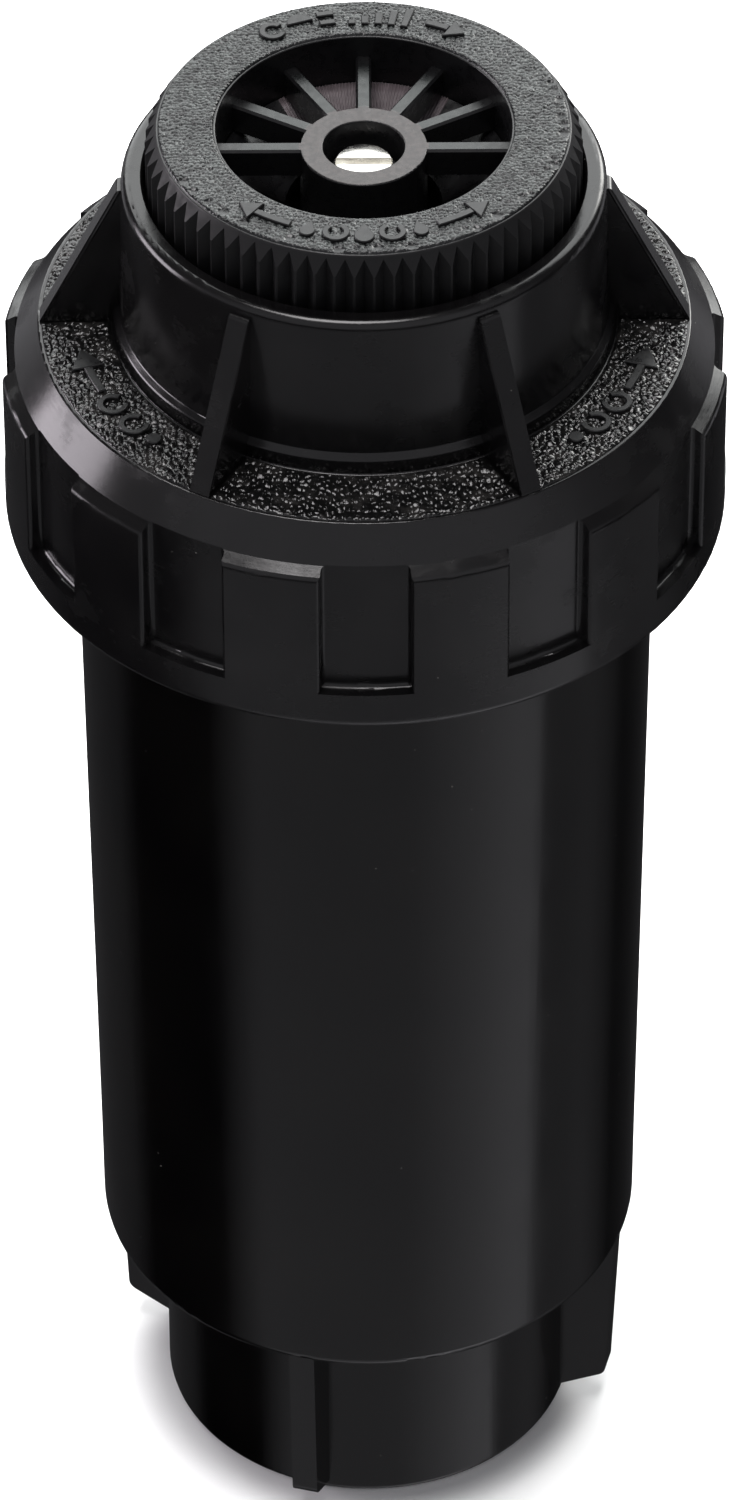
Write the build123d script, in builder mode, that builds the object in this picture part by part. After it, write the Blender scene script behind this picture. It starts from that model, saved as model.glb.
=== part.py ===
"""Pop-up spray sprinkler with a two inch stroke, for a half inch threaded supply riser.

Frame: millimetres, +Z up, origin at the centre of the inlet's bottom face. The middle of the
spray pattern points along +Y, and angles are counted anticlockwise from +X, seen from above.
"""
import os
from math import cos, radians, sin

from build123d import *

os.makedirs("parts", exist_ok=True)

# ---------------------------------------------------------------- driving dimensions
cap_diameter = 50.8
overall_height = 118.0
stroke = 50.8
running_gap = 0.1  # between round faces that turn or slide on each other

# Heights of the main levels
shoulder_z = 17.7  # underside of the canister's floor, round the inlet boss
floor_z = 20.2  # inside floor of the canister
skirt_z = 85.4  # lower edge of the cap
canister_top_z = 98.0
ceiling_z = 99.4  # inside face of the cap over the canister's rim
cap_face_z = 101.6  # flat ring round the cap's collar
ledge_z = 108.8  # inside the collar, where the nozzle sits
rim_z = 114.0  # top of the cap's collar
nozzle_under_z = 109.3
hub_z = overall_height - 1.7

# Canister
inlet_radius = 15.3
inlet_bore_radius = 9.2
canister_low_radius = 19.9
canister_high_radius = 20.45
neck_radius = 20.6
canister_bore_radius = 17.8
guide_rib_count = 4
guide_rib_inner_radius = 16.6
guide_rib_width = 1.6
fin_radius = 19.4
fin_low_radius = 18.8
fin_thickness = 1.9
fin_angles = [-105, -15, 75, 165]

# Cap
cap_radius = cap_diameter / 2
pocket_radius = cap_radius - 1.0
pocket_count = 12
pocket_half_angle = 7.1
pocket_z = 88.5
face_ring_radius = 22.67
collar_radius = 17.0
collar_bore_radius = 15.2
ledge_bore_radius = 10.2
seal_bore_radius = 14.5
cap_thread_root_radius = 22.15
gusset_count = 6
gusset_thickness = 1.5
gusset_top_z = 113.3

# Riser and spring
riser_radius = 9.3
riser_bore_radius = 7.6
riser_foot_radius = 16.0
riser_foot_z = 21.5
riser_top_z = 109.2
ratchet_teeth = 24
ratchet_z = 24.2  # top of the riser's foot, where its teeth start
ring_z = 25.0  # underside of the ratchet ring
spring_seat_z = 27.5
ring_hub_z = 37.0
washer_top_z = ring_hub_z + 1.1
spring_top_z = 95.6
spring_radius = 12.0
spring_wire = 1.3
spring_coils = 9.5

# Nozzle, screw and filter
wheel_radius = 15.0
wheel_face_radius = 14.2
wheel_bore_radius = 10.15
wheel_under_z = 110.75
flute_count = 70
flute_depth = 0.65
hub_radius = 4.37
hub_bore_radius = 2.8
spoke_count = 7
spoke_width = 1.07
spigot_radius = 7.1
spigot_bore_radius = 5.5
screw_core_radius = 1.25
screw_top_z = 115.0
filter_shelf_z = 99.2
filter_radius = 6.2

# Threads: (root radius, crest radius, root width, crest width, pitch)
body_thread = (neck_radius, neck_radius + 1.3, 1.6, 0.8, 3.0)
cap_thread = (cap_thread_root_radius, cap_thread_root_radius - 1.25, 1.6, 0.8, 3.0)
inlet_thread = (inlet_bore_radius, inlet_bore_radius + 0.9, 0.85, 0.1, 1.814)
riser_thread = (8.0, 7.35, 0.8, 0.35, 1.6)
spigot_thread = (spigot_radius, spigot_radius + 0.7, 0.8, 0.35, 1.6)
screw_thread = (screw_core_radius, screw_core_radius + 0.4, 0.36, 0.16, 0.8)
post_thread = (1.8, 1.4, 0.36, 0.16, 0.8)


# ---------------------------------------------------------------- shapes that repeat
def turned(*corners, mode=Mode.ADD):
    """Revolve an outline about the Z axis. Each corner is (radius, height, corner radius)."""
    with BuildSketch(Plane.XZ) as outline:
        with BuildLine():
            points = [(corner[0], corner[1]) for corner in corners]
            FilletPolyline(points, radius=[corner[2] for corner in corners], close=True)
        make_face()
    revolve(outline.sketch, axis=Axis.Z, mode=mode)


def tube(inner, outer, low, high, mode=Mode.ADD):
    """A plain ring about the Z axis, or a disc when inner is 0."""
    with BuildSketch(Plane.XY.offset(low)) as section:
        Circle(outer)
        if inner:
            Circle(inner, mode=Mode.SUBTRACT)
    extrude(section.sketch, amount=high - low, mode=mode)


def thread(form, low, high, mode=Mode.ADD):
    """A right-hand helical ridge, or a groove when subtracted, with its first section at low."""
    root_radius, crest_radius, root_width, crest_width, pitch = form
    height = crest_radius - root_radius
    sink = 0.2 if height > 0 else -0.2
    with BuildLine() as helix:
        Helix(pitch, high - low, root_radius, center=(0, 0, low))
    path = helix.edges()[0]
    with BuildSketch(Plane(origin=path @ 0, x_dir=(1, 0, 0), z_dir=path % 0)) as section:
        with BuildLine():
            Polyline(
                (-sink, -root_width / 2),
                (height, -crest_width / 2),
                (height, crest_width / 2),
                (-sink, root_width / 2),
                close=True,
            )
        make_face()
    sweep(section.sketch, path=path, is_frenet=True, mode=mode)


def outward(angle):
    """The horizontal unit vector at an angle."""
    return Vector(cos(radians(angle)), sin(radians(angle)), 0)


def radial_plane(angle):
    """Upright plane through the axis: x runs outwards at the angle and y runs up."""
    return Plane(origin=(0, 0, 0), x_dir=outward(angle), z_dir=outward(angle - 90))


def facing_plane(angle, radius):
    """Upright plane that faces outwards at the angle: x runs round the axis and y runs up."""
    return Plane(origin=outward(angle) * radius, x_dir=outward(angle + 90), z_dir=outward(angle))


def even_angles(count, first=0.0):
    """Angles spread evenly over a full turn."""
    return [first + 360 / count * index for index in range(count)]


def face_teeth(first_angle, root_z, tip_z):
    """Radial ratchet teeth between the riser's foot and the ratchet ring."""
    inner = 12.4
    outer = 15.6
    root_half = 0.85
    tip_half = 0.25
    sink = 0.3 if tip_z > root_z else -0.3
    planes = [facing_plane(angle, inner) for angle in even_angles(ratchet_teeth, first_angle)]
    with BuildSketch(*planes) as teeth:
        with BuildLine():
            Polyline(
                (-root_half, root_z - sink),
                (root_half, root_z - sink),
                (root_half, root_z),
                (tip_half, tip_z),
                (-tip_half, tip_z),
                (-root_half, root_z),
                close=True,
            )
        make_face()
    extrude(teeth.sketch, amount=outer - inner)


# ---------------------------------------------------------------- canister
# The buried can: a drafted tube with a floor, a threaded inlet boss under it, four fins that
# stiffen the boss, guide ribs inside and the cap's thread round its neck.
with BuildPart() as canister_body:
    turned(
        (inlet_bore_radius, 0, 0),
        (inlet_radius, 0, 0.6),
        (inlet_radius, shoulder_z, 0.4),
        (canister_low_radius, shoulder_z, 1.0),
        (canister_high_radius, skirt_z, 0),
        (neck_radius, skirt_z + 1.6, 0),
        (neck_radius, canister_top_z, 0.4),
        (canister_bore_radius, canister_top_z, 0.4),
        (canister_bore_radius, floor_z, 1.0),
        (inlet_bore_radius, floor_z, 0),
    )
    # Pockets in the boss keep its wall even; ribs are left between them.
    boss_pocket_depth = 14.0
    with BuildSketch(Plane.XY):
        Circle(13.8)
        Circle(12.0, mode=Mode.SUBTRACT)
        with PolarLocations(12.9, 8, start_angle=22.5):
            Rectangle(3.0, 1.4, mode=Mode.SUBTRACT)
    extrude(amount=boss_pocket_depth, mode=Mode.SUBTRACT)
    # Fins beside the boss, drafted, with a sloping lower end
    with BuildSketch(*[radial_plane(angle) for angle in fin_angles]):
        with BuildLine():
            FilletPolyline(
                (inlet_radius - 0.8, 1.0),
                (inlet_radius, 1.0),
                (fin_low_radius, 3.0),
                (fin_radius, shoulder_z + 0.5),
                (inlet_radius - 0.8, shoulder_z + 0.5),
                radius=[0, 0.8, 1.0, 0, 0],
                close=True,
            )
        make_face()
    extrude(amount=fin_thickness / 2, both=True)
    # Ribs that stop the ratchet ring from turning
    rib_outer_radius = canister_bore_radius + 0.5
    with BuildSketch(Plane.XY.offset(floor_z - 0.5)):
        with PolarLocations((guide_rib_inner_radius + rib_outer_radius) / 2, guide_rib_count, 45):
            Rectangle(rib_outer_radius - guide_rib_inner_radius, guide_rib_width)
    extrude(amount=93.5 - floor_z)
    thread(body_thread, 88.2, 95.7)
    # Inlet thread, with a lead-in chamfer at its mouth
    thread(inlet_thread, -inlet_thread[4], 14.0, mode=Mode.SUBTRACT)
    with BuildSketch(Plane.XZ):
        Polygon((0, 0), (inlet_bore_radius + 1.0, 0), (inlet_bore_radius, 1.0), (0, 1.0), align=None)
    revolve(axis=Axis.Z, mode=Mode.SUBTRACT)

# ---------------------------------------------------------------- cap
# A screw cap with twelve finger pockets round its skirt and a tall collar, propped by six
# gussets, in which the nozzle sits.
with BuildPart() as screw_cap:
    turned(
        (cap_thread_root_radius + 0.5, skirt_z, 0),
        (cap_radius, skirt_z, 0.8),
        (cap_radius, 98.6, 0.5),
        (pocket_radius + 0.05, 99.2, 0),
        (face_ring_radius, cap_face_z, 0.2),
        (collar_radius + 0.5, cap_face_z, 0.15),
        (collar_radius + 0.45, cap_face_z + 1.1, 0.3),
        (collar_radius + 0.02, cap_face_z + 1.5, 0.2),
        (collar_radius - 0.3, rim_z, 0.7),
        (collar_bore_radius + 0.15, rim_z, 0.05),
        (collar_bore_radius, rim_z - 0.2, 0.05),
        (collar_bore_radius, ledge_z, 0.3),
        (ledge_bore_radius, ledge_z, 0.4),
        (ledge_bore_radius, ledge_z - 1.8, 0.3),
        (seal_bore_radius, ledge_z - 1.8, 0.2),
        (seal_bore_radius, ceiling_z, 0.2),
        (cap_thread_root_radius, ceiling_z, 0.4),
        (cap_thread_root_radius, skirt_z + 0.5, 0),
    )
    # Finger pockets: the skirt's outline with rounded lobes is left, and the rest is cut away
    # above the pockets' ledge.
    wedge_reach = cap_radius + 3
    half_width = wedge_reach * sin(radians(pocket_half_angle))
    along = wedge_reach * cos(radians(pocket_half_angle))
    with BuildSketch(Plane.XY.offset(pocket_z), mode=Mode.PRIVATE) as lobes:
        Circle(cap_radius + 0.02)
        with PolarLocations(0, pocket_count):
            Polygon(
                (0, 0), (along, -half_width), (along, half_width), align=None, mode=Mode.SUBTRACT
            )
        Circle(pocket_radius)
        fillet(lobes.vertices(), 0.35)
    with BuildSketch(Plane.XY.offset(pocket_z)):
        Circle(wedge_reach)
        add(lobes.sketch_local, mode=Mode.SUBTRACT)
    extrude(amount=cap_face_z - pocket_z, mode=Mode.SUBTRACT)
    # Rounded inner corner of the ledge
    ledge_round = 0.4
    with BuildSketch(Plane.XZ):
        with BuildLine():
            Polyline(
                (pocket_radius, pocket_z + ledge_round),
                (pocket_radius - 0.3, pocket_z + ledge_round),
                (pocket_radius - 0.3, pocket_z - 0.3),
                (pocket_radius + ledge_round, pocket_z - 0.3),
                (pocket_radius + ledge_round, pocket_z),
            )
            CenterArc(
                (pocket_radius + ledge_round, pocket_z + ledge_round), ledge_round, 180, 90
            )
        make_face()
    revolve(axis=Axis.Z)
    # Gussets from under the rim down to the edge of the flat ring
    with BuildSketch(*[radial_plane(angle) for angle in even_angles(gusset_count)]):
        with BuildLine():
            FilletPolyline(
                (collar_bore_radius + 0.6, cap_face_z - 0.5),
                (face_ring_radius - 0.1, cap_face_z - 0.5),
                (face_ring_radius - 0.1, cap_face_z + 0.1),
                (collar_radius - 0.1, gusset_top_z),
                (collar_bore_radius + 0.6, gusset_top_z - 0.7),
                radius=[0, 0, 0, 0.4, 0],
                close=True,
            )
        make_face()
    extrude(amount=gusset_thickness / 2, both=True)
    thread(cap_thread, 86.7, 94.2)

# ---------------------------------------------------------------- seal under the cap
# The wiper seal grips the riser and its flange seals the canister's rim. A hard ring backs
# it, takes the spring's thrust and stops the riser at full height.
with BuildPart() as wiper_seal:
    turned(
        (riser_radius + 0.07, 105.6, 0.15),
        (riser_radius + 0.07, 106.3, 0.15),
        (10.1, 106.9, 0.2),
        (seal_bore_radius - running_gap, 106.9, 0.4),
        (seal_bore_radius - running_gap, ceiling_z - running_gap, 0.2),
        (20.3, ceiling_z - running_gap, 0.2),
        (20.3, canister_top_z + running_gap, 0.2),
        (12.9, canister_top_z + running_gap, 0),
        (12.9, 102.6, 0.3),
        (11.6, 104.0, 0.4),
    )

with BuildPart() as spring_seat_ring:
    turned(
        (9.75, washer_top_z + stroke + 0.05, 0.2),
        (10.9, washer_top_z + stroke + 0.05, 0.2),
        (10.9, spring_top_z, 0.3),
        (canister_bore_radius - 0.4, spring_top_z, 0.3),
        (canister_bore_radius - 0.4, canister_top_z, 0.3),
        (12.75, canister_top_z, 0.2),
        (12.75, 102.3, 0.3),
        (9.75, 102.3, 0.3),
    )
    # Notches let the ring drop past the guide ribs
    with BuildSketch(Plane.XY.offset(spring_top_z)):
        with PolarLocations(canister_bore_radius, guide_rib_count, 45):
            Rectangle(3.0, guide_rib_width + 0.8)
    extrude(amount=canister_top_z - spring_top_z, mode=Mode.SUBTRACT)

# ---------------------------------------------------------------- spring
# Stainless compression spring with ground ends, between the ratchet ring and the seat ring.
with BuildPart() as retract_spring:
    end_overlap = 0.3
    helix_low = spring_seat_z + spring_wire / 2 - end_overlap
    helix_height = spring_top_z - spring_seat_z - spring_wire + 2 * end_overlap
    with BuildLine() as coil:
        Helix(helix_height / spring_coils, helix_height, spring_radius, center=(0, 0, helix_low))
    coil_path = coil.edges()[0]
    with BuildSketch(Plane(origin=coil_path @ 0, x_dir=(1, 0, 0), z_dir=coil_path % 0)) as wire:
        Circle(spring_wire / 2)
    sweep(wire.sketch, path=coil_path, is_frenet=True)
    tube(0, 20, spring_seat_z - 3, spring_seat_z + 0.05, mode=Mode.SUBTRACT)
    tube(0, 20, spring_top_z - 0.05, spring_top_z + 3, mode=Mode.SUBTRACT)

# ---------------------------------------------------------------- ratchet ring and washer
# The ring slides on the guide ribs and can't turn. Its teeth hold the riser's aim.
with BuildPart() as ratchet_ring:
    turned(
        (riser_radius + 0.15, ring_z, 0.2),
        (canister_bore_radius - 0.4, ring_z, 0.3),
        (canister_bore_radius - 0.4, ring_z + 6.0, 0.3),
        (14.6, ring_z + 6.0, 0.3),
        (14.6, spring_seat_z, 0.3),
        (10.9, spring_seat_z, 0.3),
        (10.9, ring_hub_z, 0.2),
        (riser_radius + 0.15, ring_hub_z, 0.2),
    )
    face_teeth(180 / ratchet_teeth, ring_z, ring_z - 0.6)
    with BuildSketch(Plane.XY.offset(ring_z)):
        with PolarLocations(canister_bore_radius, guide_rib_count, 45):
            Rectangle(2 * (canister_bore_radius - guide_rib_inner_radius + 0.3), guide_rib_width + 0.6)
    extrude(amount=6.0, mode=Mode.SUBTRACT)

with BuildPart() as riser_washer:
    turned(
        (riser_radius + 0.15, ring_hub_z + 0.02, 0.2),
        (10.85, ring_hub_z + 0.02, 0.2),
        (10.85, washer_top_z, 0.3),
        (riser_radius + 0.15, washer_top_z, 0.3),
    )

# ---------------------------------------------------------------- riser
# Plain polished tube with a toothed foot, and a thread and filter shelf inside its top end.
with BuildPart() as riser_stem:
    turned(
        (riser_bore_radius, riser_foot_z, 0.5),
        (riser_foot_radius, riser_foot_z, 0.5),
        (riser_foot_radius, ratchet_z, 0.3),
        (riser_radius, ratchet_z, 0.1),
        (riser_radius, riser_top_z, 0.3),
        (riser_thread[0], riser_top_z, 0.2),
        (riser_thread[0], filter_shelf_z, 0),
        (filter_radius + 0.55, filter_shelf_z, 0),
        (filter_radius + 0.55, 96.6, 0.3),
        (riser_bore_radius, 95.2, 0.5),
    )
    face_teeth(0, ratchet_z, ratchet_z + 0.6)
    thread(riser_thread, 100.9, 108.4)

# ---------------------------------------------------------------- filter
# A ribbed basket that hangs in the riser from the shelf, lined with a slotted screen. A plate
# under its flange has the hole that the adjusting screw's tip throttles.
filter_low_z = 60.5
with BuildPart() as filter_basket:
    basket_wall = 1.0
    flange_top_z = filter_shelf_z + 0.95
    turned(
        (0, filter_low_z, 0),
        (filter_radius - 1.4, filter_low_z, 0.4),
        (filter_radius, filter_low_z + 1.6, 0.4),
        (filter_radius, filter_shelf_z + 0.05, 0),
        (7.2, filter_shelf_z + 0.05, 0),
        (7.2, flange_top_z, 0.2),
        (filter_radius - basket_wall, flange_top_z, 0.2),
        (filter_radius - basket_wall, filter_low_z + 2.0, 0.4),
        (0, filter_low_z + 2.0, 0),
    )
    tube(0, filter_radius - 0.5, 96.6, 98.0)
    tube(0, 1.9, 96.0, 98.5, mode=Mode.SUBTRACT)
    with BuildSketch(Plane.XY.offset(96.0)):
        with PolarLocations(3.5, 6):
            Circle(0.7)
    extrude(amount=2.5, mode=Mode.SUBTRACT)
    # Windows between the ribs and hoops
    window_rows = 4
    window_pitch = 8.1
    with BuildSketch(*[facing_plane(angle, 0) for angle in even_angles(8, 22.5)]):
        middle_z = filter_low_z + 3.4 + window_rows * window_pitch / 2
        with Locations((0, middle_z)):
            with GridLocations(1, window_pitch, 1, window_rows):
                RectangleRounded(3.2, window_pitch - 1.5, 0.5)
    extrude(amount=filter_radius + 1, mode=Mode.SUBTRACT)

with BuildPart() as filter_screen:
    screen_outer = filter_radius - 1.0 - 0.08
    screen_low_z = filter_low_z + 2.5
    screen_high_z = 96.5
    tube(screen_outer - 0.3, screen_outer, screen_low_z, screen_high_z)
    slit_rows = 18
    with BuildSketch(*[facing_plane(angle, 0) for angle in even_angles(6)]):
        with Locations((0, (screen_low_z + screen_high_z) / 2)):
            with GridLocations(1, 1.8, 1, slit_rows):
                Rectangle(3.6, 0.6)
    extrude(amount=filter_radius, mode=Mode.SUBTRACT)

# ---------------------------------------------------------------- nozzle
# The wheel: a fluted grip ring and a hub, joined by seven spokes over the spraying half.
with BuildPart() as nozzle_wheel:
    step = 360 / flute_count
    land_half = 0.25
    outline = []
    for index in range(flute_count):
        outline.append(outward(index * step - land_half) * wheel_radius)
        outline.append(outward(index * step + land_half) * wheel_radius)
        outline.append(outward((index + 0.5) * step) * (wheel_radius - flute_depth))
    with BuildSketch(Plane.XY.offset(wheel_under_z)):
        Polygon(*[(point.X, point.Y) for point in outline], align=None)
    extrude(amount=overall_height - wheel_under_z)
    turned(
        (wheel_bore_radius, wheel_under_z, 0),
        (wheel_radius - 0.4, wheel_under_z, 0),
        (wheel_radius + 0.01, wheel_under_z + 0.5, 0),
        (wheel_radius + 0.01, overall_height - 1.3, 0),
        (wheel_face_radius, overall_height, 0.12),
        (wheel_bore_radius, overall_height, 0.1),
        mode=Mode.INTERSECT,
    )
    spoke_depth = 2.1
    spoke_length = wheel_bore_radius - hub_radius + 1.0
    with BuildSketch(Plane.XY.offset(hub_z - spoke_depth)):
        spoke_middle = (wheel_bore_radius + hub_radius) / 2
        with PolarLocations(spoke_middle, spoke_count, 0, 180, endpoint=True):
            Rectangle(spoke_length, spoke_width)
    extrude(amount=spoke_depth)
    spoke_edges = nozzle_wheel.edges().filter_by(GeomType.LINE).filter_by_position(Axis.Z, hub_z, hub_z)
    chamfer(spoke_edges.filter_by(lambda edge: edge.length > 3), 0.16)
    turned(
        (hub_bore_radius, nozzle_under_z + 0.35, 0),
        (hub_radius, nozzle_under_z + 0.35, 0),
        (hub_radius, hub_z, 0.12),
        (hub_bore_radius, hub_z, 0.12),
    )

# The base: flange, threaded spigot, screw post, and the sloping spray floor on the back half.
with BuildPart() as nozzle_base:
    flange_z = nozzle_under_z + 1.4
    post_radius = 3.4
    post_low_z = 101.5
    post_top_z = nozzle_under_z + 0.3
    turned(
        (spigot_bore_radius, 100.3, 0.2),
        (spigot_radius, 100.3, 0.4),
        (spigot_radius, nozzle_under_z, 0),
        (wheel_face_radius + 0.2, nozzle_under_z, 0.4),
        (wheel_face_radius + 0.2, flange_z, 0.2),
        (spigot_bore_radius, flange_z, 0),
    )
    tube(post_thread[0], post_radius, post_low_z, post_top_z)
    # Webs that carry the post inside the spigot
    with BuildSketch(Plane.XY.offset(post_low_z)):
        with PolarLocations((post_radius + spigot_bore_radius) / 2, 4, 45):
            Rectangle(spigot_bore_radius - post_radius + 0.8, 1.0)
    extrude(amount=6.5)
    # Spray floor: a cone under the spokes that throws the water up and out
    with BuildSketch(Plane.XZ):
        Polygon(
            (5.4, flange_z - 0.2),
            (wheel_bore_radius - 0.08, flange_z - 0.2),
            (wheel_bore_radius - 0.08, 114.1),
            (5.4, 111.4),
            align=None,
        )
    revolve(axis=Axis.Z, revolution_arc=180)
    # Closed floor on the front half
    with BuildSketch(Plane.XZ):
        Polygon(
            (post_radius - 0.2, post_top_z - 1.2),
            (spigot_bore_radius + 0.3, post_top_z - 1.2),
            (spigot_bore_radius + 0.3, flange_z),
            (hub_radius + 0.08, flange_z),
            (hub_radius + 0.08, post_top_z),
            (post_radius - 0.2, post_top_z),
            align=None,
        )
    revolve(axis=Axis.Z, revolution_arc=-180)
    thread(spigot_thread, 101.7, 108.1)
    thread(post_thread, 102.3, 109.1)

# ---------------------------------------------------------------- adjusting screw
# Slotted stainless screw with a sealing ring under its head and a tip that throttles the
# filter's hole.
head_radius = 2.0
groove_low_z = screw_top_z - 2.25
groove_high_z = screw_top_z - 0.9
groove_radius = 1.45
with BuildPart() as adjusting_screw:
    turned(
        (0, 99.4, 0),
        (0.5, 99.4, 0.1),
        (screw_core_radius, 100.6, 0.2),
        (screw_core_radius, 111.9, 0),
        (head_radius, groove_low_z - 0.5, 0),
        (head_radius, groove_low_z, 0.05),
        (groove_radius, groove_low_z, 0),
        (groove_radius, groove_high_z, 0),
        (head_radius, groove_high_z, 0.05),
        (head_radius, screw_top_z, 0.12),
        (0, screw_top_z, 0),
    )
    with BuildSketch(Plane.XY.offset(screw_top_z)):
        Rectangle(2 * head_radius + 1, 0.75)
    extrude(amount=-0.65, mode=Mode.SUBTRACT)
    thread(screw_thread, 101.1, 110.7)

with BuildPart() as screw_o_ring:
    ring_section = (hub_bore_radius - groove_radius) / 2 - 0.055
    with BuildSketch(Plane.XZ):
        with Locations(((hub_bore_radius + groove_radius) / 2, (groove_low_z + groove_high_z) / 2)):
            Circle(ring_section)
    revolve(axis=Axis.Z)

# ---------------------------------------------------------------- write the parts
finished = {
    "canister_body": canister_body,
    "screw_cap": screw_cap,
    "wiper_seal": wiper_seal,
    "spring_seat_ring": spring_seat_ring,
    "retract_spring": retract_spring,
    "ratchet_ring": ratchet_ring,
    "riser_washer": riser_washer,
    "riser_stem": riser_stem,
    "filter_basket": filter_basket,
    "filter_screen": filter_screen,
    "nozzle_wheel": nozzle_wheel,
    "nozzle_base": nozzle_base,
    "adjusting_screw": adjusting_screw,
    "screw_o_ring": screw_o_ring,
}
for name, piece in finished.items():
    piece.part.label = name
    export_step(piece.part, f"parts/{name}.step")
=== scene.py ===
"""Looks of the pop-up spray sprinkler: materials, fine surface relief, marks, floor, lights, camera.

Everything is in metres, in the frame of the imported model: +Z up, the front of the object faces -Y,
and angles are counted anticlockwise from +X, seen from above.
"""

import math

import bpy
import numpy as np
from mathutils import Matrix, Vector


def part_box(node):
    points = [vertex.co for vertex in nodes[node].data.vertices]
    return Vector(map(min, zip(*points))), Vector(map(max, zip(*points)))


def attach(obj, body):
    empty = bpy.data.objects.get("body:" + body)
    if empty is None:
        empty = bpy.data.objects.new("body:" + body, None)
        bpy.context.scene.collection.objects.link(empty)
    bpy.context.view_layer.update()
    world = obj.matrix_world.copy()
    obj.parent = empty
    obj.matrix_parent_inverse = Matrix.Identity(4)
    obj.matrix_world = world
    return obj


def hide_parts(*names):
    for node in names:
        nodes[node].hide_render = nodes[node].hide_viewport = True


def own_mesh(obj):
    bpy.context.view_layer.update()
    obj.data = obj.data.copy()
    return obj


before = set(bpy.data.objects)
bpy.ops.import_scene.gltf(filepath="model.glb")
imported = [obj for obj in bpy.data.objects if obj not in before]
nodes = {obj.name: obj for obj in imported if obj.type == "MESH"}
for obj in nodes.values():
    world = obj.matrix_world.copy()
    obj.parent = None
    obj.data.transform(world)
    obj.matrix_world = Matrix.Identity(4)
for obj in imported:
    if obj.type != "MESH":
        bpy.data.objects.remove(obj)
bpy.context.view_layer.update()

MM = 0.001

# Places read from the frame, in millimetres
canister_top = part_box("canister_body")[1].z / MM
wheel_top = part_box("nozzle_wheel")[1].z / MM
wheel_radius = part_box("nozzle_wheel")[1].x / MM
spray_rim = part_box("nozzle_base")[1].z / MM
spring_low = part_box("retract_spring")[0].z / MM
spring_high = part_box("retract_spring")[1].z / MM
spring_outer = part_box("retract_spring")[1].x / MM

# Sizes the frame doesn't give, in millimetres
cap_face = canister_top + 3.6  # the flat pebbled ring of the cap
gusset_top = canister_top + 15.3
gusset_top_radius = 16.8
gusset_low_radius = 22.57
pebble_inner = 17.62
pebble_outer = 22.5
gusset_count = 6
gusset_half = 0.75
tucked_edge = -0.01  # a relief plate's edge sits this far below the face it lies on
mark_sink = 0.04  # and a mark starts this far below it
wheel_face_outer = wheel_radius - 0.8
wheel_bore = 10.15
hub_top = wheel_top - 1.7
hub_radius = 4.37
spring_wire = 1.3
spring_coils = 9.5


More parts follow.
